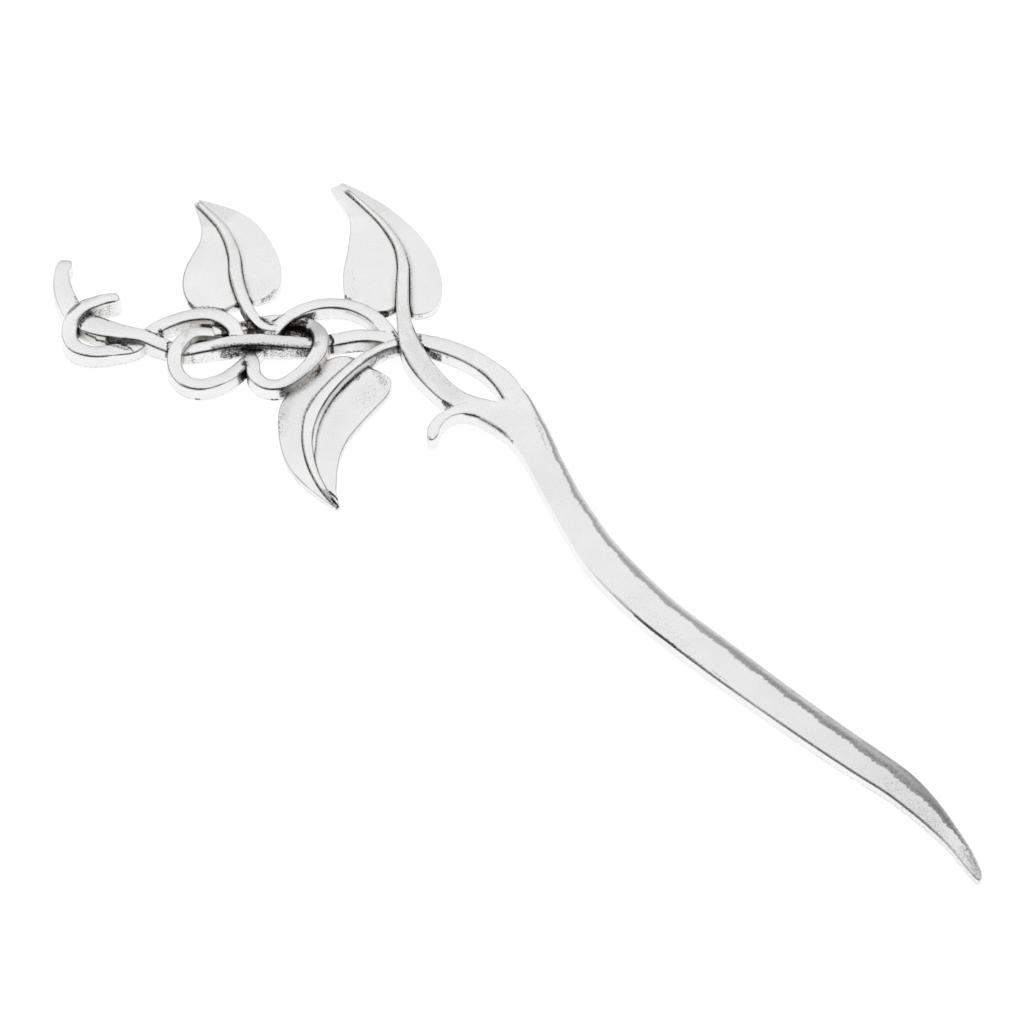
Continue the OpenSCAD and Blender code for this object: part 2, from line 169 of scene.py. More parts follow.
# Leaves
# Columns: right edge x and y, midrib x and y, left edge x and y, tip to base
FIRST_LEAF = [
    (-76.7, 14.3, -76.4, 14.8, -76.6, 15.4), (-74.2, 12.7, -73.0, 13.8, -73.6, 16.4),
    (-71.8, 10.9, -69.9, 12.8, -70.0, 17.2), (-70.1, 8.7, -67.2, 11.7, -66.4, 17.1),
    (-69.0, 6.0, -64.6, 10.1, -62.6, 15.9), (-67.7, 3.2, -62.2, 8.2, -59.2, 14.2),
    (-65.7, 0.6, -60.2, 6.3, -56.4, 12.0), (-63.1, -1.1, -58.6, 5.0, -54.6, 9.6),
    (-60.5, -1.7, -57.6, 4.3, -54.4, 7.4), (-58.4, -0.6, -57.0, 3.9, -55.1, 5.6),
    (-57.2, 1.2, -56.6, 3.6, -56.2, 4.6),
]
SECOND_LEAF = [
    (-63.5, 30.3, -63.0, 31.3, -63.0, 32.3), (-60.8, 29.2, -60.0, 30.9, -60.0, 32.7),
    (-58.0, 28.0, -56.5, 30.2, -55.5, 32.8), (-55.8, 26.3, -52.8, 29.3, -51.0, 32.4),
    (-53.8, 23.9, -49.8, 28.3, -46.9, 31.6), (-52.0, 21.5, -47.0, 27.0, -43.2, 30.3),
    (-50.3, 19.0, -44.4, 25.3, -39.8, 28.3), (-48.3, 16.7, -42.1, 23.3, -37.0, 26.0),
    (-45.7, 14.5, -40.6, 21.6, -35.1, 23.4), (-42.6, 13.6, -39.5, 20.4, -34.6, 21.0),
    (-40.2, 15.0, -38.9, 19.7, -35.6, 19.2), (-39.2, 17.0, -38.3, 19.1, -37.2, 18.4),
]
THIRD_LEAF = [
    (-18.5, -15.9, -18.7, -16.2, -18.9, -16.4), (-19.8, -15.0, -20.4, -15.9, -20.8, -16.6),
    (-20.9, -14.1, -22.8, -15.3, -24.9, -16.4), (-22.2, -12.6, -25.6, -13.9, -28.9, -15.4),
    (-23.8, -10.7, -28.3, -11.9, -32.4, -13.4), (-25.3, -8.3, -30.7, -9.5, -35.5, -10.7),
    (-26.4, -5.6, -32.4, -6.9, -37.8, -8.0), (-27.1, -2.2, -33.7, -4.0, -39.0, -5.0),
    (-27.6, 1.4, -34.4, -1.0, -39.5, -1.5), (-28.1, 4.6, -34.9, 2.2, -39.5, 2.0),
    (-29.6, 6.8, -35.0, 4.6, -38.8, 4.8), (-32.0, 7.0, -35.0, 6.0, -37.2, 6.4),
    (-33.8, 6.9, -35.0, 6.9, -35.8, 6.9),
]

# Shaft
# Columns: x, far edge, crest, near edge, and the height's share of the way to the tip's
SHAFT = [
    (-14.4, 17.9, 17.5, 9.0, 0.00), (-12.0, 17.4, 16.7, 9.2, 0.00), (-9.0, 16.1, 15.1, 9.1, 0.00),
    (-5.0, 14.0, 12.9, 7.8, 0.00), (0.0, 11.2, 9.9, 5.4, 0.05), (5.0, 8.7, 7.2, 2.9, 0.08),
    (10.0, 6.6, 5.0, 0.5, 0.10), (15.0, 4.8, 3.1, -1.7, 0.12), (20.0, 3.6, 1.7, -3.1, 0.15),
    (25.0, 2.6, 0.7, -4.0, 0.18), (30.0, 1.9, 0.0, -4.7, 0.20), (40.0, 1.3, -0.8, -5.4, 0.25),
    (50.0, 0.7, -1.5, -5.7, 0.32), (60.0, 0.3, -2.1, -5.8, 0.40), (67.0, 0.2, -2.4, -5.7, 0.50),
    (72.0, 0.0, -2.7, -5.5, 0.58), (76.0, -0.8, -3.1, -5.7, 0.66), (80.0, -2.1, -3.8, -6.1, 0.76),
    (84.0, -3.8, -4.9, -6.8, 0.86), (87.5, -5.5, -6.3, -7.9, 0.94), (89.6, -6.9, -7.4, -8.5, 0.98),
    (90.3, -7.6, -7.9, -8.6, 1.00), (90.6, -8.0, -8.1, -8.5, 1.00),
]


# Shapes
def smooth_rows(table, steps=16):
    """Rows of a table on one smooth curve, with steps from each to the next."""
    rows = np.array(table, float)
    held = np.vstack([rows[:1], rows, rows[-1:]])
    t = (np.arange(steps) / steps)[:, None]
    parts = [
        0.5 * (2 * b + (c - a) * t + (2 * a - 5 * b + 4 * c - d) * t**2 + (3 * b - a - 3 * c + d) * t**3)
        for a, b, c, d in zip(held, held[1:], held[2:], held[3:])
    ]
    return np.vstack(parts + [rows[-1:]])


def lengths(points):
    """Length along a line up to each of its points."""
    return np.concatenate([[0.0], np.cumsum(np.linalg.norm(np.diff(points, axis=0), axis=1))])


def at(rows, along, places):
    """Rows worked out at places along them."""
    return np.column_stack([np.interp(places, along, column) for column in rows.T])


def ease(values, low, high):
    """0 below low, 1 above high and smooth in between."""
    t = np.clip((values - low) / (high - low), 0, 1)
    return t * t * (3 - 2 * t)


def ripple(along, seed):
    """A slow, small waver between about -1 and 1."""
    waves = ((0.31, 1.7), (0.83, 4.1), (1.9, 2.3))
    return sum(np.sin(along * w + seed * 3.1 + k) / (1 + n) for n, (w, k) in enumerate(waves)) / 1.8


def skin(name, rings):
    """A closed mesh over rings of corners, given in millimetres as drawn."""
    rings = np.asarray(rings, float)
    count, corners = rings.shape[:2]
    points = rings.reshape(-1, 3).copy()
    points[:, :2] = (points[:, :2] - DRAWN_MIDDLE) * SIZE
    points *= 0.001
    index = np.arange(count * corners).reshape(count, corners)
    low, high = index[:-1], index[1:]
    quads = np.stack([low, high, np.roll(high, -1, axis=1), np.roll(low, -1, axis=1)], axis=-1)
    faces = quads.reshape(-1, 4).tolist() + [index[0].tolist(), index[-1][::-1].tolist()]
    mesh = bpy.data.meshes.new(name)
    mesh.from_pydata(points.tolist(), [], faces)
    mesh.validate()
    piece = bpy.data.objects.new(name, mesh)
    bpy.context.scene.collection.objects.link(piece)
    return piece


def vine(name, table, seed, free_end=True, ledge=False):
    """A vine with a flat back, upright sides and unevenly rounded upper edges.

    With a free end its first row is rounded off, and with a ledge its left side is stepped."""
    rows = smooth_rows(table)
    along = lengths(rows[:, :2])
    count = int(round(along[-1] / STATION))
    places = np.linspace(0, along[-1], count + 1)
    if free_end:
        rounding = EDGE_RADIUS * (1 - np.cos(np.linspace(0, math.pi / 2, ROUND_STEPS)))
        places = np.concatenate([rounding[:-1], places[places > EDGE_RADIUS]])
    rows = at(rows, along, places)
    way = np.gradient(rows[:, :2], axis=0)
    way /= np.linalg.norm(way, axis=1)[:, None]
    side = np.column_stack([-way[:, 1], way[:, 0]])
    half = rows[:, 2] * VINE_WIDTH / 2 + WAVER * ripple(places, seed) * np.minimum(1, rows[:, 2])
    top = rows[:, 3] * VINE_HEIGHT + WAVER * ripple(places, seed + 1)
    if free_end:
        short = np.clip(EDGE_RADIUS - places, 0, EDGE_RADIUS)
        top = top - (EDGE_RADIUS - np.sqrt(EDGE_RADIUS**2 - short**2))
    radius = np.minimum(EDGE_RADIUS * (0.72 + 0.35 * ripple(places * 1.6, seed + 2)), half * 0.4)

    # Half a section up the wall, round the edge and over the top, and its mirror image
    ring = []
    for share in np.arange(WALL_STEPS) / WALL_STEPS:
        ring.append((-half, (top - radius) * share))
    for turn in np.linspace(0, math.pi / 2, ROUND_STEPS):
        ring.append((-half + radius * (1 - math.cos(turn)), top - radius * (1 - math.sin(turn))))
    flat = half - radius
    for share in (-0.8, -0.6, -0.4, -0.2, 0.0):
        ring.append((flat * share, top + CROWN * (1 - share * share)))
    ring += [(-u, z) for u, z in ring[-2::-1]]
    if ledge:
        # The other wall becomes a step, except near both ends
        out = LEDGE_WIDTH * ease(places, 3.5, 6.0) * (1 - ease(places, along[-1] - 13, along[-1] - 9))
        low = top - np.minimum(LEDGE_DROP, top * 0.3)
        ring = ring[:-WALL_STEPS]
        ring += [(half, low), (half + out * 0.4, low - 0.02), (half + out * 0.75, low - 0.06),
                 (half + out, low - 0.2), (half + out, low * 0.4), (half + out, low * 0)]
    across, up = np.array(ring).transpose(1, 2, 0)
    plan = rows[:, None, :2] + side[:, None, :] * across[:, :, None]
    return skin(name, np.concatenate([plan, up[:, :, None]], axis=2))


def beyond(points, rows):
    """How far points in plan lie beyond a vine's sides, and the nearest of its rows."""
    gap = np.linalg.norm(points[..., None, :] - rows[:, :2], axis=-1)
    nearest = gap.argmin(axis=-1)
    return gap.min(axis=-1) - rows[nearest, 2] * VINE_WIDTH / 2, nearest


def leaf(name, table, rib_table, rims, seed):
    """A thin, nearly flat blade with a groove on each side of its midrib."""
    rows = smooth_rows(table)
    along = (lengths(rows[:, 0:2]) + lengths(rows[:, 2:4]) + lengths(rows[:, 4:6])) / 3
    rows = at(rows, along, np.linspace(0, along[-1], int(along[-1] / BLADE_STATION)))
    rib = smooth_rows(rib_table, COARSE_STEPS)
    middle = rows[:, 2:4]
    width = np.linalg.norm(rows[:, 0:2] - rows[:, 4:6], axis=1)
    full = np.minimum(1, NARROW_HEIGHT + width * HEIGHT_GAIN)[:, None]
    outside, nearest = beyond(middle, rib)
    rib_half = (rib[nearest, 2] * VINE_WIDTH / 2)[:, None]

    def half(edge, rim):
        """From an edge of the blade in to the midrib: places and heights."""
        wide = np.linalg.norm(middle - edge, axis=1)[:, None]
        # How far in the rim ends, the groove begins and the midrib's side stands
        first = np.minimum(rim, wide * 0.3)
        third = np.maximum(wide - rib_half + 0.1, first + wide * 0.2)
        second = np.maximum(third - 0.7, first + wide * 0.1)
        t = np.linspace(0, 1, 10)[None, :]
        inward = np.concatenate([
            first * (1 - np.cos(t * math.pi / 2)), first + (second - first) * t[:, 1:],
            second + (third - second) * t[:, 1:], third + (wide - third) * np.array([[0.5, 1.0]]),
        ], axis=1)
        share = inward / wide
        plan = edge[:, None, :] + (middle - edge)[:, None, :] * share[:, :, None]
        z = (BLADE_EDGE + BLADE_SWELL * ease(share, -0.2, 0.8)) * full
        lip = np.clip(1 - inward / np.maximum(first, 0.02), 0, 1)
        z = z - RIM_DROP * min(1, 0.6 + rim) * full * (1 - np.sqrt(1 - lip**2))
        outside, _ = beyond(plan, rib)
        z = z - GROOVE_DEPTH * np.exp(-(np.maximum(outside, 0) / GROOVE_REACH) ** 2)
        z = z + 0.015 * ripple(plan[:, :, 0] * 1.3 + plan[:, :, 1] * 0.9, seed)
        return np.concatenate([plan, np.maximum(z, 0.2)[:, :, None]], axis=2)

    def level(points, z):
        """One corner of every ring, at this height."""
        return np.concatenate([points, np.broadcast_to(z, (len(points), 1))], axis=1)[:, None, :]

    right, left = half(rows[:, 0:2], rims[0]), half(rows[:, 4:6], rims[1])
    wall = 0.5 * right[:, 0, 2:3], 0.5 * left[:, 0, 2:3]
    rings = np.concatenate([
        level(middle, 0.0), level(rows[:, 0:2], 0.0), level(rows[:, 0:2], wall[0]), right,
        left[:, -2::-1], level(rows[:, 4:6], wall[1]), level(rows[:, 4:6], 0.0),
    ], axis=1)
    return skin(name, rings)


def shaft_rows(x):
    """Rows of the shaft at places along it, with a slightly uneven crest."""
    rows = smooth_rows(SHAFT)
    rows = at(rows, rows[:, 0], x)
    width = rows[:, 1] - rows[:, 2]
    uneven = np.sin(x * 0.83) + 0.7 * np.sin(x * 1.9 + 1) + 0.5 * np.sin(x * 4.7 + 2) + 0.3 * np.sin(x * 9.1)
    frayed = (0.4 + 0.4 * ease(x, 30, 60)) * (np.sin(x * 61.7) + 0.8 * np.sin(x * 23.9 + 1))
    rows[:, 2] += np.minimum(0.12, width * 0.1) * (uneven + frayed) * ease(x, -12, 0)
    return rows


def shaft_top(rows):
    """Height of the shaft's flat face at its rows."""
    return SHAFT_HEIGHT + (TIP_HEIGHT - SHAFT_HEIGHT) * np.minimum(1, rows[:, 4])


def shaft(name):
    """The shaft: upright near side, flat face and a filed far side."""
    x = np.concatenate([np.arange(-14.4, 86.0, 0.35), np.arange(86.0, 90.6, 0.12), [90.6]])
    rows = shaft_rows(x)
    far, crest, near = rows[:, 1], rows[:, 2], rows[:, 3]
    top = shaft_top(rows)
    width = far - crest
    drop = np.minimum(FAR_DROP, np.minimum(width, top) * STEEPEST)
    radius = np.minimum(0.05 + 0.30 * ease(x, 20, 27) - 0.12 * ease(x, 82, 86), (crest - near) / 3)

    # The section up the near side, over the face, down the filed side and to the far foot
    ring = [(near, (top - radius) * share) for share in (0, 0.3, 0.6, 0.85)]
    for turn in np.linspace(0, math.pi / 2, 5):
        ring.append((near + radius * (1 - math.cos(turn)), top - radius * (1 - math.sin(turn))))
    for share in np.linspace(0, 1, 15)[1:]:
        ring.append((near + radius + (crest - near - radius) * share, top))
    for share in np.linspace(0, 1, 13)[1:]:
        ring.append((crest + width * share, top - drop * (0.45 * share + 0.55 * share**2)))
    ring.append((far, 0.5 * (top - drop) + 0.15))
    ring.append((far, top * 0 + FOOT_HEIGHT))
    ring.append((far - UNDERCUT * np.minimum(1, far - near), top * 0))
    across, up = np.array(ring).transpose(1, 2, 0)
    along = np.broadcast_to(x[:, None], across.shape)
    return skin(name, np.stack([along, across, up], axis=2))


def triangulate(piece):
    """Cuts a piece's faces into triangles, which fuse cleanly."""
    work = bmesh.new()
    work.from_mesh(piece.data)
    bmesh.ops.triangulate(work, faces=work.faces)
    work.to_mesh(piece.data)
    work.free()


def fuse(pieces):
    """All the pieces as one closed body."""
    for piece in pieces:
        triangulate(piece)
    body = pieces[0]
    for other in pieces[1:]:
        cut = body.modifiers.new("fuse", "BOOLEAN")
        cut.operation = "UNION"
        cut.solver = "MANIFOLD"
        cut.object = other
        graph = bpy.context.evaluated_depsgraph_get()
        mesh = bpy.data.meshes.new_from_object(body.evaluated_get(graph))
        body.modifiers.clear()
        body.data = mesh
        bpy.data.objects.remove(other)
    return body


def clean(body):
    """Welds and triangulates the fused body, and shades it smooth by angle."""
    work = bmesh.new()
    work.from_mesh(body.data)
    bmesh.ops.remove_doubles(work, verts=work.verts, dist=WELD_REACH)
    bmesh.ops.triangulate(work, faces=work.faces)
    open_edges = sum(1 for e in work.edges if not e.is_manifold)
    print("fused:", len(work.verts), "points,", len(work.faces), "faces,", open_edges, "open edges,",
          round(work.calc_volume() * 1e9), "mm3")
    work.to_mesh(body.data)
    work.free()
    body.data.shade_smooth()
    body.data.set_sharp_from_angle(angle=SHARP_ANGLE)


def drawn(body):
    """The body's points, in millimetres as drawn."""
    points = np.empty(len(body.data.vertices) * 3, np.float32)
    body.data.vertices.foreach_get("co", points)
    points = points.reshape(-1, 3).astype(float) * 1000
    points[:, :2] = points[:, :2] / SIZE + DRAWN_MIDDLE
    return points


def level_fork(body):
    """Runs the tops of the branches and of the hook into the shaft's without a step."""
    points = drawn(body)
    x, z = points[:, 0], points[:, 2]
    top = SHAFT_HEIGHT + 0.03 * np.clip(-14 - x, 0, None)
    share = ease(x, -21, -17) * (1 - ease(x, -9, -6)) * ease(z, 1.5, 1.9)
    points[:, 2] = z + share * (np.minimum(z + 0.04, top) - z)
    points[:, :2] = (points[:, :2] - DRAWN_MIDDLE) * SIZE
    body.data.vertices.foreach_set("co", (points * 0.001).astype(np.float32).ravel())
    body.data.update()


# Tarnish and painted shade. A line along a vine's side lies this far in from it
SIDE_INSET = 0.07


def side_of(table, hand, first, last, drop=SIDE_INSET):
    """Points along a vine's or a leaf's left (1) or right (-1) side, from one row to another.

    On a vine they lie this drop below its top."""
    rows = smooth_rows(table, COARSE_STEPS)
    stretch = slice(round(first * COARSE_STEPS), round(last * COARSE_STEPS) + 1)
    if rows.shape[1] == 6:
        edge = rows[:, 4:6] if hand > 0 else rows[:, 0:2]
        return np.column_stack([edge, np.full(len(rows), 1.0)])[stretch]
    way = np.gradient(rows[:, :2], axis=0)
    side = np.column_stack([-way[:, 1], way[:, 0]]) / np.linalg.norm(way, axis=1)[:, None]
    edge = rows[:, :2] + hand * side * (rows[:, 2:3] * VINE_WIDTH / 2 - SIDE_INSET)
    return np.column_stack([edge, rows[:, 3] * VINE_HEIGHT - drop])[stretch]


# Columns: reach in plan, lowest and highest z, strength, and the line that it follows,
# as places (x, y) or as a stretch of a side
STAINS = [
    # The curl
    (0.60, 0.80, 2.85, 0.62, side_of(CURL, 1, 4.2, 6.8)),
    (0.55, 0.40, 2.60, 0.45, side_of(CURL, 1, 2.2, 4.6)),
    (0.45, 1.90, 2.40, 0.72,
     [(-70.7, -12.6), (-70.8, -13.6), (-70.7, -14.8), (-70.4, -15.7), (-70.0, -16.4)]),
    (0.35, 0.00, 2.60, 0.75, [(-70.2, -13.5), (-69.0, -13.0), (-67.7, -12.6)]),
    (0.35, 1.60, 1.95, 0.95, [(-68.7, -16.4), (-67.3, -16.0)]),
    (0.35, 1.10, 1.50, 0.95, [(-67.2, -16.0), (-65.8, -15.4)]),
    (0.55, 0.20, 2.80, 1.00, [(-65.4, -15.4), (-64.1, -14.9), (-62.7, -14.4)]),
    (0.25, 1.20, 2.50, 1.00, [(-63.1, -14.3), (-62.0, -14.3), (-61.1, -14.4)]),
    (0.45, 1.60, 2.50, 0.65, [(-64.4, -16.0), (-63.2, -15.4), (-61.9, -14.8)]),
    (0.45, 2.20, 3.00, 0.55, [(-63.3, -14.0), (-61.9, -13.3)]),
    (0.40, 1.80, 2.60, 0.60, [(-74.9, -12.5), (-73.6, -12.6), (-74.1, -13.1)]),
    (0.40, 0.00, 0.30, 0.85, [(-64.2, -19.8), (-63.8, -19.4)]),
    (0.40, 0.00, 0.40, 0.85, [(-61.2, -14.3), (-60.8, -13.8)]),
    # The first arch and the first loop
    (0.35, 0.20, 2.30, 1.00, side_of(FIRST_ARCH, -1, 3.0, 4.9)),
    (0.35, 0.20, 1.30, 0.90, side_of(FIRST_ARCH, -1, 2.3, 4.0)),
    (0.35, 0.40, 2.10, 0.34, side_of(FIRST_ARCH, -1, 0.4, 2.8)),
    (0.28, 1.60, 2.60, 0.90, [(-62.4, -10.3), (-61.3, -10.2), (-60.3, -9.8)]),
    (0.60, 0.30, 2.30, 0.85, [(-60.7, -9.1), (-59.4, -8.8)]),
    (0.35, 0.40, 1.70, 0.50, side_of(FIRST_LOOP, 1, 1.0, 4.4)),
    (0.35, 0.80, 1.50, 0.85, side_of(FIRST_LOOP, 1, 1.3, 3.2)),
    (0.35, 1.60, 2.40, 0.80, [(-56.9, -11.4), (-58.2, -10.1), (-57.8, -9.2)]),
    (0.45, 0.80, 2.40, 0.90, [(-57.1, -11.6)]),
    (0.40, 0.00, 0.40, 0.70, [(-57.6, -11.9), (-56.9, -11.8)]),
    (0.30, 1.60, 2.30, 0.60, [(-56.5, -7.4), (-55.9, -9.2)]),
    (0.40, 0.10, 2.00, 0.75, [(-54.8, -9.6), (-54.1, -9.0)]),
    (0.48, 1.40, 2.25, 0.95, [(-55.6, -3.0), (-54.9, -2.8), (-54.2, -2.8), (-53.5, -3.2)]),
    (0.28, 1.80, 2.60, 0.90, [(-52.3, -2.8), (-50.5, -1.2)]),
    (0.40, 0.00, 0.30, 0.80, [(-48.6, -14.2), (-48.3, -13.9)]),
    # The core vine between the loops
    (1.00, 2.00, 3.10, 0.62, side_of(CORE_VINE, -1, 13.0, 17.4)),
    (0.40, 1.90, 3.10, 0.85, side_of(CORE_VINE, -1, 13.6, 16.0)),
    (0.35, 0.60, 2.60, 0.82, side_of(CORE_VINE, -1, 13.4, 15.4)),
    (0.40, 0.30, 2.20, 0.60, side_of(CORE_VINE, -1, 13.5, 14.2)),
    (0.30, 0.30, 2.60, 0.32, side_of(CORE_VINE, -1, 12.4, 13.8)),
    (0.30, 0.40, 2.30, 0.50, side_of(CORE_VINE, -1, 15.0, 16.6)),
    (0.30, 0.40, 2.30, 0.75, side_of(CORE_VINE, -1, 16.0, 17.0)),
    (0.85, 0.00, 2.00, 0.70, [(-48.4, -3.9), (-47.2, -5.2), (-46.4, -6.4), (-45.0, -7.0)]),
    (0.80, 0.00, 2.20, 0.80, [(-47.2, -5.5), (-46.1, -5.9), (-46.0, -7.5)]),
    (0.60, 1.80, 2.30, 0.55, [(-49.1, 0.9), (-48.1, 2.0)]),
    (0.30, 1.50, 2.80, 0.90, [(-49.2, 0.4), (-46.5, 2.4)]),
    # The first leaf and the hollow below it
    (0.35, 0.00, 2.10, 1.00, side_of(FIRST_RIB, -1, 7.4, 9.4)),
    (0.30, 0.30, 1.30, 0.75, [(-62.7, -1.3), (-61.2, -1.6), (-60.7, -1.4)]),
    (0.28, 0.30, 1.50, 0.80, [(-60.8, -1.3), (-59.4, -0.1), (-57.8, 0.8), (-56.8, 1.2)]),
    (0.45, 0.20, 1.90, 1.00, [(-56.7, 2.6), (-55.6, 2.5), (-54.3, 1.8), (-52.7, 1.0)]),
    (0.45, 0.20, 1.40, 0.85, [(-56.3, 5.0), (-55.4, 4.7), (-54.8, 5.3)]),
    (0.40, 0.20, 1.30, 0.60, [(-54.7, 5.6), (-54.5, 7.2), (-54.7, 9.1)]),
    (0.90, 0.00, 2.10, 0.95, [(-52.4, 0.7), (-51.3, 0.2)]),
    (0.80, 1.00, 2.00, 0.90, [(-52.9, 0.2), (-51.6, 0.9)]),
    (0.55, 0.00, 2.00, 1.00, [(-52.4, 1.8), (-49.9, 1.1)]),
    (0.80, 0.30, 2.10, 0.60, [(-51.6, 3.0), (-50.3, 3.0)]),
    (0.60, 0.60, 2.30, 0.85, [(-51.6, 2.8), (-50.6, 2.6), (-49.6, 2.7)]),
    (0.28, 1.00, 2.40, 0.75, [(-51.4, 2.6), (-50.0, 2.5), (-50.1, 4.0), (-49.9, 5.3)]),
    (0.30, 1.20, 2.40, 0.90, [(-50.2, 3.7), (-49.6, 5.3)]),
    # The second arch, the second loop and the low web between them
    (0.60, 0.80, 2.22, 1.00, side_of(SECOND_LOOP, 1, 6.2, 9.8)),
    (0.30, 1.00, 2.80, 0.85, side_of(SECOND_LOOP, 1, 6.6, 9.8)),
    (0.40, 0.00, 1.95, 1.00, side_of(SECOND_LOOP, 1, 9.1, 11.3)),
    (0.80, 1.20, 3.00, 0.34, side_of(SECOND_LOOP, -1, 3.8, 8.4)),
    (0.45, 0.20, 1.95, 0.95, side_of(SECOND_ARCH, -1, 0.3, 2.7)),
    (0.30, 0.80, 2.10, 0.28, side_of(SECOND_ARCH, -1, 1.8, 5.6)),
    (0.35, 0.30, 2.30, 0.85, [(-47.1, 2.6), (-47.4, 4.2), (-47.0, 6.0), (-46.5, 7.3)]),
    (0.75, 0.00, 2.10, 0.80, [(-46.9, 4.2), (-46.6, 6.9)]),
    (0.70, 0.00, 2.10, 1.00, [(-45.3, 4.9), (-43.4, 4.1)]),
    (1.00, 1.40, 2.00, 0.95, [(-48.2, 5.0), (-46.4, 6.3)]),
    (1.50, 0.00, 1.10, 0.82, [(-48.2, 3.2), (-46.6, 4.9), (-44.9, 6.0)]),
    (0.40, 1.20, 2.30, 0.90, [(-46.9, 7.5), (-46.4, 8.0)]),
    (0.40, 0.40, 2.30, 1.00, [(-41.8, 6.9), (-40.6, 6.3), (-39.3, 4.5)]),
    (0.35, 0.60, 2.20, 0.85, [(-39.4, -6.0), (-39.1, -5.7)]),
    (0.40, 0.00, 0.30, 0.80, [(-40.5, -6.8), (-39.9, -6.3)]),
    # The third leaf and its stem
    (0.45, 1.00, 1.50, 0.85,
     [(-33.3, 4.9), (-33.5, 3.2), (-33.6, 1.3), (-33.5, -0.2), (-33.3, -1.8), (-32.9, -3.6)]),
    (0.35, 0.50, 2.20, 0.85, [(-38.6, 1.5), (-38.1, 0.0)]),
    (1.00, 0.80, 1.50, 0.42, [(-38.3, 1.2), (-37.9, -0.8), (-37.8, -3.0)]),
    (0.90, 0.80, 1.50, 0.36, [(-38.6, -5.8), (-37.2, -8.0), (-35.7, -10.0), (-33.8, -11.6)]),
    (0.60, 1.00, 1.40, 0.30, [(-36.2, -8.5), (-34.3, -9.5), (-34.0, -11.0)]),
    (0.28, 0.20, 1.30, 0.50, [(-36.3, -9.7), (-33.9, -12.2)]),
    (0.24, 0.20, 1.30, 1.00, [(-21.3, -15.0), (-19.5, -15.2)]),
    (0.30, 0.10, 1.20, 1.00, [(-21.4, -15.7), (-18.6, -16.2)]),
    (1.00, 1.00, 1.40, 0.46, [(-32.3, 6.4), (-29.8, 5.8)]),
    (0.40, 0.80, 1.80, 0.32, [(-34.0, 6.5), (-33.6, 8.4), (-33.2, 10.2)]),
    (0.30, 0.30, 1.70, 0.65, [(-34.1, 7.6), (-33.9, 8.8), (-33.5, 10.2), (-33.1, 11.2)]),
    (0.25, 0.20, 0.60, 0.70, [(-34.0, 7.6), (-33.6, 9.3), (-33.5, 11.2)]),
    (0.40, 0.00, 0.40, 0.60, [(-39.6, 6.7), (-38.3, 7.9), (-36.9, 9.4)]),
    # The crossing and the base of the second leaf
    (0.45, 0.40, 2.30, 0.75, [(-35.2, 13.4), (-33.8, 12.7), (-32.3, 11.6), (-31.4, 10.8)]),
    (0.60, 0.20, 1.80, 0.60, [(-33.0, 10.9), (-32.6, 11.6)]),
    (0.40, 0.00, 1.20, 1.00, [(-40.2, 15.7), (-38.3, 17.5)]),
    (0.55, 0.20, 1.30, 0.60, [(-37.5, 19.6), (-35.8, 18.3), (-35.1, 19.3)]),
    (0.28, 0.20, 1.30, 0.85, [(-46.3, 15.0), (-45.9, 14.7), (-45.2, 14.9)]),
    (0.28, 0.60, 1.60, 0.60, [(-43.2, 15.3), (-41.4, 15.3)]),
    (0.50, 1.90, 2.30, 0.74, [(-31.9, 15.5), (-31.4, 15.0), (-30.8, 14.5), (-30.3, 14.2)]),
    (0.45, 1.40, 2.30, 0.95, [(-30.2, 14.2), (-29.2, 14.3)]),
    (0.35, 1.00, 2.20, 1.00, [(-28.7, 13.9), (-27.5, 14.5), (-26.1, 15.1)]),
    (0.60, 0.10, 1.60, 0.85, [(-28.7, 14.2), (-27.5, 14.9)]),
    # The branches, the hook and the shaft
    (0.30, 1.80, 2.60, 0.35,
     [(-27.0, 12.6), (-24.0, 11.2), (-21.2, 10.8), (-16.7, 11.8), (-14.9, 13.2)]),
    (0.26, 1.40, 2.30, 0.60, [(-20.6, 8.2), (-19.5, 8.2)]),
    (0.26, 0.20, 1.40, 0.80, [(-20.6, 8.3), (-19.8, 8.2)]),
    (0.40, 1.20, 2.20, 0.80, [(-20.6, 8.0), (-19.3, 8.3)]),
    (0.35, 1.00, 2.20, 0.50, [(-17.8, 1.6), (-16.9, 1.4)]),
    (0.35, 1.60, 2.20, 0.60, [(-10.7, 9.3), (-9.2, 9.1), (-7.8, 8.8)]),
    (0.45, 1.90, 2.20, 0.45, [(-8.3, 14.4), (-7.1, 13.6), (-5.2, 12.4), (-3.1, 11.1)]),
    (0.26, 1.50, 2.10, 0.66, [(26.4, -4.20), (28.5, -4.50), (31.0, -4.68), (34.5, -4.82)]),
    (0.20, 1.50, 2.10, 0.55, [(36.5, -4.90), (38.5, -4.95), (41.0, -4.90), (44.0, -4.80)]),
    (0.70, 0.60, 1.40, 0.46, [(85.6, -5.9), (87.0, -6.4), (88.4, -7.0), (89.8, -8.0)]),
    (0.20, 0.60, 1.30, 0.45, [(89.6, -6.9), (90.3, -7.5), (90.6, -8.3)]),
]
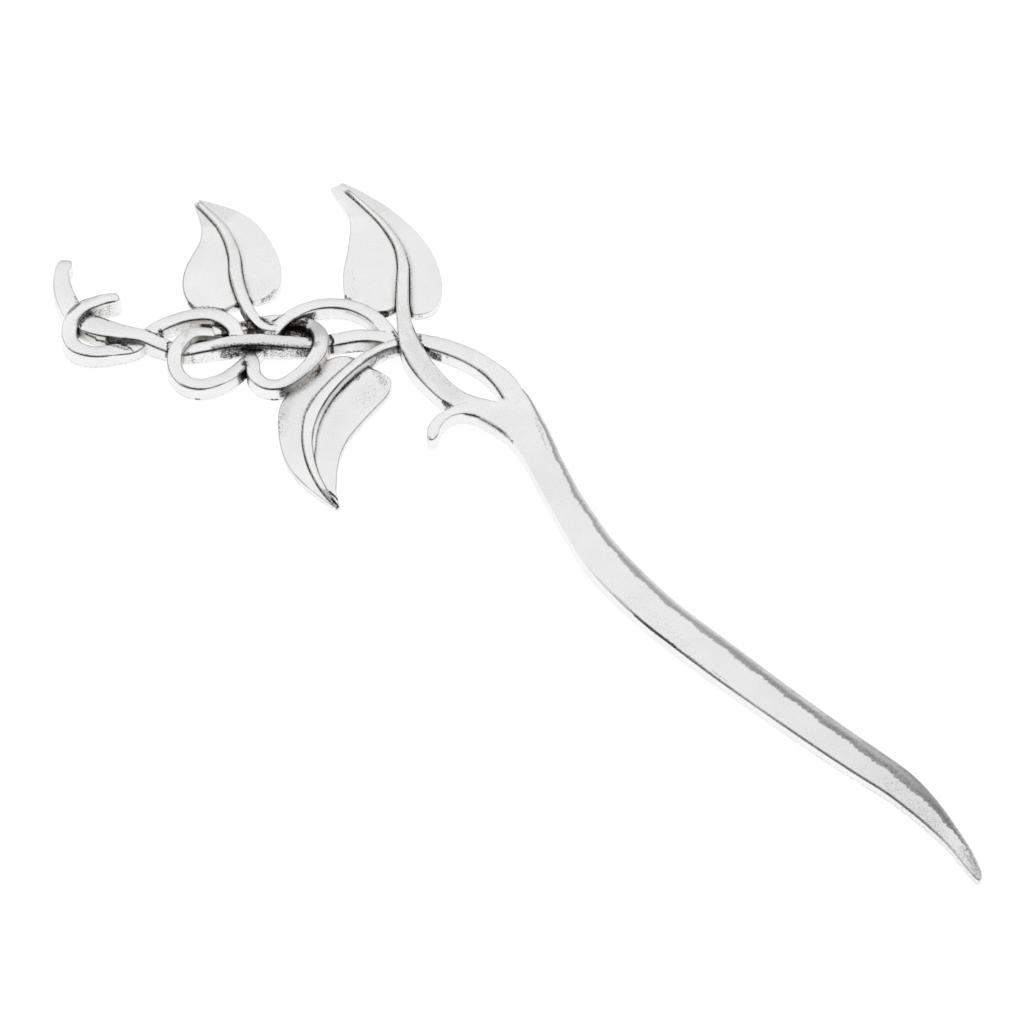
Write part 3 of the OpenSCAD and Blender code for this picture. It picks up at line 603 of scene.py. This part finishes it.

# Fine dark lines along edges, partly tarnish and partly painted shade: the dark reflection of rounded
# near edges and contact shadow where one part lies over another. Columns: reach, strength, and the line
# as places (x, y, z) or as a stretch of a side
LINES = [
    (0.14, 0.70, side_of(CORE_VINE, -1, 7.8, 9.0)),
    (0.17, 0.85, side_of(CORE_VINE, -1, 9.2, 11.6)),
    (0.20, 0.85, side_of(CORE_VINE, -1, 12.4, 14.2)),
    (0.22, 0.62, side_of(CORE_VINE, -1, 13.9, 16.9)),
    (0.17, 0.80, side_of(CORE_VINE, -1, 17.8, 19.8)),
    (0.10, 0.50, side_of(CORE_VINE, 1, 10.4, 12.4)),
    (0.18, 0.90, side_of(CURL, -1, 4.4, 5.9)),
    (0.15, 0.70, side_of(CURL, -1, 7.6, 9.9)),
    (0.10, 0.50, side_of(CURL, -1, 10.0, 12.0)),
    (0.15, 0.80, side_of(CURL, 1, 4.3, 6.3)),
    (0.13, 0.90, side_of(CURL, 1, 4.3, 6.4, 0.40)),
    (0.13, 0.85, side_of(CURL, 1, 4.3, 6.4, 0.75)),
    (0.10, 0.30, side_of(CURL, 1, 6.0, 8.6)),
    (0.20, 1.00, [(-72.95, -12.9, 3.0), (-72.9, -13.4, 3.01), (-72.85, -14.8, 2.92), (-72.8, -16.4, 2.72)]),
    (0.16, 0.85, side_of(FIRST_ARCH, -1, 0.6, 4.8)),
    (0.12, 0.45, side_of(FIRST_LOOP, -1, 4.8, 8.0)),
    (0.18, 0.85, side_of(FIRST_LOOP, -1, 5.9, 7.2)),
    (0.12, 0.60, side_of(FIRST_LOOP, 1, 1.0, 4.8)),
    (0.14, 0.85, side_of(FIRST_LOOP, 1, 1.4, 4.8, 0.75)),
    (0.10, 0.40, side_of(FIRST_LOOP, 1, 4.6, 6.0)),
    (0.16, 0.75, side_of(SECOND_ARCH, -1, 2.5, 5.8)),
    (0.13, 0.80, side_of(SECOND_ARCH, -1, 3.9, 5.9, 0.65)),
    (0.16, 0.75, side_of(SECOND_LOOP, -1, 2.4, 4.2)),
    (0.14, 0.70, side_of(SECOND_LOOP, -1, 4.0, 5.6)),
    (0.14, 0.45, side_of(SECOND_LOOP, -1, 6.4, 8.6, 0.45)),
    (0.16, 0.65, side_of(SECOND_LOOP, 1, 1.6, 4.0)),
    (0.24, 0.95, side_of(FRONT_BRANCH, -1, 8.0, 9.5)),
    (0.15, 0.75, side_of(FRONT_BRANCH, -1, 9.3, 10.9)),
    (0.20, 0.90, side_of(FRONT_BRANCH, 1, 6.9, 8.4)),
    (0.17, 0.80, side_of(BACK_BRANCH, -1, 1.6, 4.0)),
    (0.25, 1.00, side_of(BACK_BRANCH, -1, 3.7, 5.7)),
    (0.15, 0.80, side_of(THIRD_RIB, 1, 0.5, 2.2)),
    (0.12, 0.85, side_of(HOOK, -1, 0.0, 2.3)),
    (0.09, 0.60, side_of(HOOK, -1, 2.6, 5.8)),
    (0.12, 0.60, side_of(HOOK, 1, 0.0, 1.6)),
    (0.24, 1.00,
     [(-16.9, 8.0, 2.05), (-15.2, 9.0, 2.0), (-13.1, 9.25, 2.0), (-10.6, 9.25, 2.0), (-8.9, 9.0, 2.0)]),
    (0.15, 0.75, side_of(FIRST_LEAF, -1, 4.2, 7.4)),
    (0.11, 0.65, side_of(FIRST_LEAF, -1, 6.8, 9.2)),
    (0.12, 0.50, side_of(SECOND_LEAF, -1, 8.0, 10.6)),
    (0.14, 0.60, side_of(THIRD_LEAF, -1, 4.6, 9.4)),
    (0.12, 0.45, side_of(THIRD_LEAF, -1, 1.4, 5.0)),
    (0.12, 0.50, side_of(THIRD_LEAF, 1, 1.8, 6.4)),
]

# Soft grey, mostly painted shade beside higher parts and across rounded tops. Columns as in STAINS
GREYS = [
    (0.80, 2.5, 3.5, 0.22, [(-72.6, -12.8), (-72.3, -11.7), (-72.0, -10.6)]),
    (0.60, 0.4, 2.2, 0.30, side_of(FIRST_LOOP, 1, 1.2, 4.6)),
    (0.50, 1.8, 2.8, 0.22, [(-57.3, -6.8), (-56.2, -9.0), (-54.5, -10.5)]),
    (0.95, 2.0, 3.2, 0.44, [(-52.2, -6.4), (-48.4, -3.6), (-44.8, -0.4), (-41.8, 2.4)]),
    (1.40, 2.2, 3.2, 0.10, [(-51.5, -4.6), (-48.4, -1.4), (-44.8, 1.6), (-42.4, 3.6)]),
    (0.50, 1.9, 3.0, 0.35, [(-47.6, 3.2), (-47.7, 4.7), (-47.5, 6.0)]),
    (0.95, 2.0, 3.0, 0.12, side_of(SECOND_LOOP, -1, 4.0, 8.2)),
    (1.20, 0.6, 1.6, 0.16, [(-39.0, -3.0), (-36.0, -9.0)]),
    (3.00, 0.8, 1.6, 0.05, [(-37.6, 3.0), (-36.0, -5.0), (-31.0, -12.0)]),
    (3.00, 0.8, 1.6, 0.05, [(-31.0, 3.0), (-30.0, -4.0), (-27.0, -10.0)]),
    (2.20, 1.6, 3.0, 0.12, [(-31.0, 12.6), (-26.0, 10.8), (-20.0, 9.8)]),
]

# Rough, pitted places. Columns: x and y at both ends, reach, strength
PITTED = [
    (-74.5, -13.5, -79.5, -10.0, 1.4, 0.5), (-69.0, -9.8, -67.8, -8.6, 1.2, 0.9),
    (-68.5, -17.5, -66.0, -16.5, 1.3, 1.0), (-61.0, -3.5, -56.0, -1.2, 1.2, 0.5),
    (-57.0, 9.0, -55.5, 6.0, 1.5, 0.5), (-49.5, -2.8, -41.0, 4.5, 1.3, 0.8),
    (-40.8, -4.0, -39.4, 3.0, 1.2, 0.7), (-40.0, 6.5, -36.0, 11.0, 1.3, 0.6),
    (-38.6, 1.0, -37.6, -8.0, 1.6, 0.8), (-30.0, 4.8, -29.6, 1.0, 2.4, 0.9),
    (-49.0, 19.5, -45.0, 15.5, 1.0, 0.7), (-36.5, 14.5, -30.0, 14.0, 2.0, 0.7),
    (-27.0, 12.0, -19.0, 10.0, 1.3, 0.8), (24.0, -2.0, 36.0, -4.0, 1.6, 0.5),
    (72.0, -4.3, 90.0, -7.8, 2.6, 1.0),
]
# A stain fades out past this share of its reach, and over this height below and above
STAIN_SPREAD = 1.15
STAIN_FADE = 0.15
# Stains along lines of more points than this taper off towards both ends
SHORT_LINE = 5


# Recesses
def hidden_share(body, reach, rays):
    """How much of its sky each point of the body has covered within reach."""
    mesh = body.data
    tree = BVHTree.FromPolygons([v.co.copy() for v in mesh.vertices],
                                [tuple(p.vertices) for p in mesh.polygons])
    golden = math.pi * (3 - math.sqrt(5))
    sky = []
    for k in range(rays):
        height = math.sqrt((k + 0.5) / rays)
        flat = math.sqrt(1 - height * height)
        sky.append(Vector((flat * math.cos(k * golden), flat * math.sin(k * golden), height)))
    covered = np.zeros(len(mesh.vertices))
    for v in mesh.vertices:
        normal = v.normal
        turn = normal.to_track_quat("Z", "Y").to_matrix()
        start = v.co + normal * 2e-5
        covered[v.index] = sum(tree.ray_cast(start, turn @ way, reach)[0] is not None for way in sky)
    return covered / rays


def gap_to_line(points, line, reach):
    """Distance from points to a line, and to its nearer end along it. Far ones are left out."""
    line = np.array(line, float)[:, :points.shape[1]]
    if len(line) == 1:
        line = np.repeat(line, 2, axis=0) + [[0] * line.shape[1], [1e-4] * line.shape[1]]
    gap, to_end = np.full(len(points), np.inf), np.zeros(len(points))
    inside = (points > line.min(axis=0) - reach) & (points < line.max(axis=0) + reach)
    close = np.flatnonzero(inside.all(axis=1))
    along = lengths(line)
    for a, b, before in zip(line, line[1:], along):
        way = b - a
        t = np.clip((points[close] - a) @ way / (way @ way), 0, 1)
        here = np.linalg.norm(points[close] - a - t[:, None] * way, axis=1)
        place = before + t * np.linalg.norm(way)
        nearer = here < gap[close]
        gap[close] = np.where(nearer, here, gap[close])
        to_end[close] = np.where(nearer, np.minimum(place, along[-1] - place), to_end[close])
    return gap, to_end


def stain_share(points):
    """How much tarnish has collected at each place, from the lines in STAINS."""
    stain = np.zeros(len(points))
    z = points[:, 2]
    for reach, low, high, strength, line in STAINS:
        gap, to_end = gap_to_line(points[:, :2], line, reach * STAIN_SPREAD)
        near = ease(1 - gap / (reach * STAIN_SPREAD), 0, 0.75)
        if len(line) > SHORT_LINE:
            near = near * ease(to_end, -0.3, 1.4)
        level = np.clip((z - low) / STAIN_FADE + 1, 0, 1) * np.clip((high - z) / STAIN_FADE + 1, 0, 1)
        stain = np.maximum(stain, near * level * strength)
    return stain


def pitted_share(points):
    """How rough and pitted each place is."""
    rough = np.full(len(points), 0.12) + 0.2 * (points[:, 2] > 1.6) * (points[:, 0] < -12)
    for ax, ay, bx, by, reach, strength in PITTED:
        gap, _ = gap_to_line(points[:, :2], [(ax, ay), (bx, by)], reach)
        near = np.clip(1.3 * (1 - gap / reach), 0, 1)
        rough = np.maximum(rough, near * strength)
    return rough


# Beside each midrib. Columns: midrib, leaf, reach at the tip and at the base, on its
# right hand and on its left, strength at the tip and at the base, spread towards the base
SEAMS = [
    (FIRST_RIB, FIRST_LEAF, (0.11, 0.28), (0.11, 0.50), (0.48, 0.92), (0.0, 0.0)),
    (FRONT_BRANCH, SECOND_LEAF, (0.10, 0.40), (0.11, 0.66), (0.62, 0.88), (0.0, 0.0)),
    (THIRD_RIB, THIRD_LEAF, (0.16, 0.24), (0.16, 0.36), (0.60, 0.92), (0.5, LEDGE_WIDTH)),
]
# How much of a seam is tarnish and how much even grey painted shade in its groove, and how much
# of a ledge's painted shadow is mottled and how much even grey
SEAM_STAIN, LEDGE_SHADOW_MOTTLE = 0.76, 0.5
SEAM_GREY, LEDGE_GREY = 0.5, 0.7
# How dark the shaft is. Columns: x, its far side, its near edge (a painted dark reflection) and its face
SHADES = [
    (-14, 0.40, 0.00, 0.01), (-8, 0.31, 0.00, 0.03), (0, 0.28, 0.00, 0.05), (14, 0.27, 0.00, 0.05),
    (19, 0.27, 0.30, 0.04), (25, 0.27, 0.45, 0.04), (29, 0.28, 0.85, 0.04), (37, 0.29, 0.85, 0.05),
    (43, 0.42, 0.70, 0.05), (50, 0.49, 0.42, 0.06), (55, 0.53, 0.65, 0.08), (66, 0.59, 0.70, 0.12),
    (72, 0.65, 0.75, 0.15), (80, 0.64, 0.72, 0.19),
    (83, 0.60, 0.45, 0.10), (86, 0.46, 0.30, 0.11), (88, 0.30, 0.30, 0.18), (90.6, 0.20, 0.50, 0.22),
]


def seam_share(points):
    """How near each place is to the groove beside a midrib, and how deep in its ledge's shade."""
    z = points[:, 2]
    seam, ledge_shade = np.zeros(len(points)), np.zeros(len(points))
    for rib_table, leaf_table, right, left, strength, spread in SEAMS:
        rib = smooth_rows(rib_table, COARSE_STEPS)
        tip, base = np.array(leaf_table[0][2:4]), np.array(leaf_table[-1][2:4])
        outside, nearest = beyond(points[:, :2], rib)
        share = np.clip(np.linalg.norm(rib[nearest, :2] - tip, axis=1) / np.linalg.norm(base - tip), 0, 1.2)
        way, off = np.gradient(rib[:, :2], axis=0)[nearest], points[:, :2] - rib[nearest, :2]
        on_left = way[:, 0] * off[:, 1] - way[:, 1] * off[:, 0] > 0
        first, last = np.where(on_left, left[0], right[0]), np.where(on_left, left[1], right[1])
        out = np.where(on_left, spread[1] * ease(share, 0.30, 0.45), spread[0] * ease(share, 0.45, 0.75))
        wide = first + (last - first) * share
        low = (z < 1.45) * (z > 0.3) * (share < 1.05)
        line = np.exp(-(np.maximum(outside - out, 0) / wide) ** 2) * low
        seam = np.maximum(seam, line * (strength[0] + (strength[1] - strength[0]) * share))
        if spread[1]:
            step = np.exp(-((outside - 0.04) / 0.09) ** 2) * 0.6 + 0.45 * ease(share, 0.5, 0.7)
            on_ledge = on_left * (outside > -0.05) * (outside < out) * (z > 1.3) * (z < 2.1)
            ledge_shade = np.maximum(ledge_shade, step * on_ledge)
    return seam, ledge_shade


def shade_share(points, seam, ledge_shade):
    """How evenly darkened each place is, mostly painted shade: in seams, in GREYS and LINES, and on the
    shaft.
    """
    x, y, z = points.T
    shade = np.maximum(SEAM_GREY * seam, LEDGE_GREY * ledge_shade)
    for reach, low, high, strength, line in GREYS:
        gap, _ = gap_to_line(points[:, :2], line, reach)
        near = ease(1 - gap / reach, 0, 1)
        shade = np.maximum(shade, near * strength * (z > low) * (z < high))
    for reach, strength, line in LINES:
        gap, to_end = gap_to_line(points, line, reach * 2.5)
        shade = np.maximum(shade, np.exp(-(gap / reach) ** 2) * strength * ease(to_end, -0.1, 0.9))
    # The shaft: darkened on its filed side, with a painted highlight along that side's middle,
    # its face darker towards the tip, and a painted dark reflection along its near rim
    rows = shaft_rows(x)
    far, crest, near = rows[:, 1], rows[:, 2], rows[:, 3]
    top = shaft_top(rows)
    table = np.array(SHADES)
    side, edge, face = (np.interp(x, table[:, 0], table[:, k]) for k in (1, 2, 3))
    across = (y - crest) / np.maximum(far - crest, 0.05)
    end = 0.6 + 0.55 * ease(x, -14, 0)
    band = ease(across, -0.04, 0.10) * (1 - 0.95 * ease(across / end, 0.62, 1.15))
    lit_middle = 0.88 * np.exp(-((across - 0.64) / 0.22) ** 2) * ease(x, 38, 52) * (1 - ease(x, 68, 82))
    band = band * (1 - lit_middle)
    on_shaft = (x > -13.5) * (z > 0.4)
    shade = np.maximum(shade, side * band * on_shaft)
    shade = np.maximum(shade, face * on_shaft * (z > top - 0.1))
    rim = ease(0.36 - np.abs(y - near), 0, 0.16) * (z > top - 0.3)
    return np.maximum(shade, edge * rim * (x > 13))


def store(body, name, values):
    """Keeps a value for each point of the body, for the material to read."""
    layer = body.data.attributes.new(name, "FLOAT", "POINT")
    layer.data.foreach_set("value", np.asarray(values, np.float32))


# Nodes of the material and of the sky
def plug(value, socket):
    """Sets an input to a value, or links it to another node's output."""
    if isinstance(value, bpy.types.NodeSocket):
        socket.id_data.links.new(value, socket)
    else:
        socket.default_value = value


def node_makers(tree):
    """Empties a node tree and gives the functions that add nodes to it."""
    tree.nodes.clear()

    def node(kind, *values, **named):
        """A node with values for its first inputs, and for inputs and settings by name."""
        made = tree.nodes.new("ShaderNode" + kind)
        for name, value in named.items():
            if name in made.inputs:
                plug(value, made.inputs[name])
            else:
                setattr(made, name, value)
        for value, socket in zip(values, made.inputs):
            plug(value, socket)
        return made

    def maths(operation, *values, clamp=False):
        """The result of an operation on these values."""
        return node("Math", *values, operation=operation, use_clamp=clamp).outputs["Value"]

    def ramp(value, low, high, out_low=0.0, out_high=1.0):
        """A smooth ramp from out_low, where the value is low, to out_high, where it is high."""
        made = node("MapRange", value, low, high, out_low, out_high, interpolation_type="SMOOTHSTEP")
        return made.outputs["Result"]

    return node, maths, ramp


# Material. Bare metal is between these two, with a painted warm light between the vines
FACE_DARK = (0.886, 0.886, 0.885, 1)
FACE_PALE = (0.952, 0.952, 0.951, 1)
PAINTED_WARM_LIGHT = (0.93, 0.87, 0.81, 1)
# Even grey, mostly painted shade, and black tarnish
GREY = (0.026, 0.024, 0.024, 1)
TARNISH = (0.020, 0.015, 0.014, 1)


def silver():
    """Antique silver: satin cast metal with dark tarnish left in the recesses, and painted shade and warm
    light.
    """
    material = bpy.data.materials.new("antique_silver")
    material.use_nodes = True
    node, maths, ramp = node_makers(material.node_tree)

    def mix(share, first, second):
        """From the first colour to the second. The numbers are those of the colour sockets."""
        made = node("Mix", data_type="RGBA")
        plug(share, made.inputs[0])
        plug(first, made.inputs[6])
        plug(second, made.inputs[7])
        return made.outputs[2]

    def noise(scale, detail, rough):
        """A cloudy pattern that stays with the stick."""
        made = node("TexNoise", Vector=spot, Scale=scale, Detail=detail, Roughness=rough)
        return made.outputs["Fac"]

    spot = node("TexCoord").outputs["Object"]
    parts = node("SeparateXYZ", Vector=spot).outputs
    along, height = parts["X"], parts["Z"]
    hidden, stain, pitted, shade = (
        node("Attribute", attribute_name=name).outputs["Fac"]
        for name in ("hidden", "stain", "pitted", "shade"))
    patches = noise(3200, 4, 0.55)
    specks = noise(5600, 2, 0.5)
    blotches = noise(2600, 3, 0.6)
    grain = noise(5200, 2, 0.6)
    clouds = noise(170, 3, 0.5)

    # Tarnish where recess and stain outweigh the patchy wear, and in pits
    depth = maths("MINIMUM", maths("ADD", stain, ramp(hidden, 0.30, 0.95, 0.0, 0.5)), 1.0)
    wear = maths("ADD", ramp(patches, 0.30, 0.70, 0.0, 0.70), ramp(specks, 0.30, 0.70, 0.0, 0.45))
    total = maths("SUBTRACT", maths("MULTIPLY", depth, 1.7), wear)
    tarnish = ramp(total, -0.10, 1.12, 0.0, 0.98)
    pits = maths("MULTIPLY", ramp(specks, 0.54, 0.70), maths("MULTIPLY", pitted, 0.5))
    dark = maths("MAXIMUM", tarnish, pits, clamp=True)

    # Even grey: the shades, painted shade in half hidden places and a painted contact
    # shadow along the foot, but not on the bright wall of the shaft
    foot = maths("MULTIPLY", ramp(height, 0.0001, 0.0003, 0.30, 0.0), ramp(patches, 0.4, 0.6))
    clear = maths("SUBTRACT", ramp(along, -0.030, -0.020), ramp(along, 0.045, 0.060))
    foot = maths("SUBTRACT", foot, maths("MULTIPLY", foot, clear))
    nearby = maths("MAXIMUM", shade, ramp(hidden, 0.12, 0.70, 0.0, 0.42))
    uneven = ramp(patches, 0.3, 0.7, 0.72, 1.15)
    even = maths("MAXIMUM", maths("MULTIPLY", nearby, uneven), foot, clamp=True)

    face = node("ValToRGB", Fac=clouds)
    for stop, position, tone in zip(face.color_ramp.elements, (0.25, 0.75), (FACE_DARK, FACE_PALE)):
        stop.position = position
        stop.color = tone
    # Painted warm light, bounced between the vines where the sky is half hidden
    warm_lit_face = mix(ramp(hidden, 0.10, 0.5, 0.0, 0.7), face.outputs["Color"], PAINTED_WARM_LIGHT)
    colour = mix(dark, mix(even, warm_lit_face, GREY), TARNISH)
    rough = maths("ADD", ramp(grain, 0.25, 0.75, 0.25, 0.35), maths("MULTIPLY", dark, 0.2))

    fine = node("Bump", Strength=0.6, Distance=1.0e-5, Height=grain).outputs["Normal"]
    rugged = node("Bump", Strength=pitted, Distance=2.6e-5, Height=blotches, Normal=fine)
    metal = node("BsdfPrincipled", Metallic=1.0, Roughness=rough, Normal=rugged.outputs["Normal"])
    plug(colour, metal.inputs["Base Color"])
    node("OutputMaterial", Surface=metal.outputs["BSDF"])
    return material


# The stick. Columns: name, table and whether its first row is a free end
VINES = (
    ("front_branch", FRONT_BRANCH, True), ("back_branch", BACK_BRANCH, False),
    ("hook", HOOK, True), ("core_vine", CORE_VINE, True), ("curl", CURL, True),
    ("first_arch", FIRST_ARCH, False), ("first_loop", FIRST_LOOP, False),
    ("second_loop", SECOND_LOOP, False), ("second_arch", SECOND_ARCH, False),
    ("first_rib", FIRST_RIB, True), ("third_rib", THIRD_RIB, False),
    ("low_web", LOW_WEB, False),
)
# Columns: name, blade, midrib, and how far its right and its left rim are rounded in
LEAVES = (
    ("first_leaf", FIRST_LEAF, FIRST_RIB, (0.5, 0.1)),
    ("second_leaf", SECOND_LEAF, FRONT_BRANCH, (0.7, 0.1)),
    ("third_leaf", THIRD_LEAF, THIRD_RIB, (0.3, 0.35)),
)
# How far off, in metres, a point's sky may be covered, and the rays that look for it
SKY_REACH = 0.0025
SKY_RAYS = 48

pieces = [shaft("shaft")]
for seed, (name, table, free_end) in enumerate(VINES):
    pieces.append(vine(name, table, seed, free_end, ledge=name == "third_rib"))
for seed, (name, table, rib_table, rims) in enumerate(LEAVES, start=11):
    pieces.append(leaf(name, table, rib_table, rims, seed))

stick = fuse(pieces)
stick.name = "stick"
stick.data.name = "stick"
clean(stick)
level_fork(stick)
store(stick, "hidden", hidden_share(stick, SKY_REACH, SKY_RAYS))
spots = drawn(stick)
seam, ledge_shade = seam_share(spots)
# The mottled dark colour: tarnish, with the seams and the painted shadow on the third midrib's ledge
beside_ribs = np.maximum(SEAM_STAIN * seam, LEDGE_SHADOW_MOTTLE * ledge_shade)
store(stick, "stain", np.maximum(stain_share(spots), beside_ribs))
store(stick, "pitted", pitted_share(spots))
store(stick, "shade", shade_share(spots, seam, ledge_shade))
stick.data.materials.clear()
stick.data.materials.append(silver())

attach(stick, "root")
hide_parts("hair_stick")

# Camera, at the photograph's angle and far off, in metres
AZIMUTH = math.radians(41.7)
ELEVATION = math.radians(48.0)
DISTANCE = 0.7
FRAME_WIDTH = 0.14525 * SIZE
SENSOR = 36.0


def way_to(azimuth, elevation):
    """The way from the stick to whoever looks at it from there."""
    flat = math.cos(elevation)
    return Vector((math.sin(azimuth) * flat, -math.cos(azimuth) * flat, math.sin(elevation)))


back = way_to(AZIMUTH, ELEVATION)
right = Vector((math.cos(AZIMUTH), math.sin(AZIMUTH), 0))
up = back.cross(right)
target = Vector((-DRAWN_MIDDLE[0], -DRAWN_MIDDLE[1], 0)) * 0.001 * SIZE

camera = bpy.data.objects.new("camera", bpy.data.cameras.new("camera"))
bpy.context.scene.collection.objects.link(camera)
turned = Matrix((right, up, back)).transposed().to_4x4()
camera.matrix_world = Matrix.Translation(target + back * DISTANCE) @ turned
camera.data.sensor_width = SENSOR
camera.data.lens = DISTANCE * SENSOR / FRAME_WIDTH
camera.data.clip_start = 0.01
camera.data.clip_end = 50
bpy.context.scene.camera = camera

# Floor: pale paper, just below the back so that the two never share a plane
FLOOR_REACH = 3.0
FLOOR_GAP = 2e-5
floor_mesh = bpy.data.meshes.new("floor")
corners = [(x * FLOOR_REACH, y * FLOOR_REACH, 0) for x, y in ((-1, -1), (1, -1), (1, 1), (-1, 1))]
floor_mesh.from_pydata(corners, [], [(0, 1, 2, 3)])
floor = bpy.data.objects.new("floor", floor_mesh)
bpy.context.scene.collection.objects.link(floor)
floor.location.z = -FLOOR_GAP
paper = bpy.data.materials.new("paper")
paper.use_nodes = True
for name, value in (("Base Color", (0.12, 0.12, 0.12, 1)), ("Roughness", 0.9),
                    ("Specular IOR Level", 0.0), ("Emission Color", (1, 1, 1, 1)),
                    ("Emission Strength", 0.95)):
    paper.node_tree.nodes["Principled BSDF"].inputs[name].default_value = value
floor_mesh.materials.append(paper)

# Light: a pale room, dark towards the camera and low at the horizon, bright overhead and behind
world = bpy.data.worlds.new("studio")
bpy.context.scene.world = world
world.use_nodes = True
node, maths, ramp = node_makers(world.node_tree)
direction = node("TexCoord").outputs["Generated"]
toward = node("VectorMath", direction, way_to(AZIMUTH, math.radians(35)), operation="DOT_PRODUCT")
room = ramp(toward.outputs["Value"], 0.35, 0.85, 1.0, 0.08)
sideways = node("VectorMath", direction, right, operation="DOT_PRODUCT")
flank = ramp(maths("ABSOLUTE", sideways.outputs["Value"]), 0.1, 0.5, 0.96, 1.06)
height = node("SeparateXYZ", direction).outputs["Z"]
above = ramp(height, 0.30, 0.66, 0.42, 1.0)
below = ramp(height, -0.12, -0.04, 0.8, 0.0)
strength = maths("MULTIPLY", maths("MULTIPLY", room, maths("MAXIMUM", above, below)), flank)
glow = node("Background", (1, 1, 1, 1), strength)
node("OutputWorld", glow.outputs["Background"])

view = bpy.context.scene.view_settings
view.view_transform = "Standard"
view.look = "None"
view.exposure = 0
view.gamma = 1
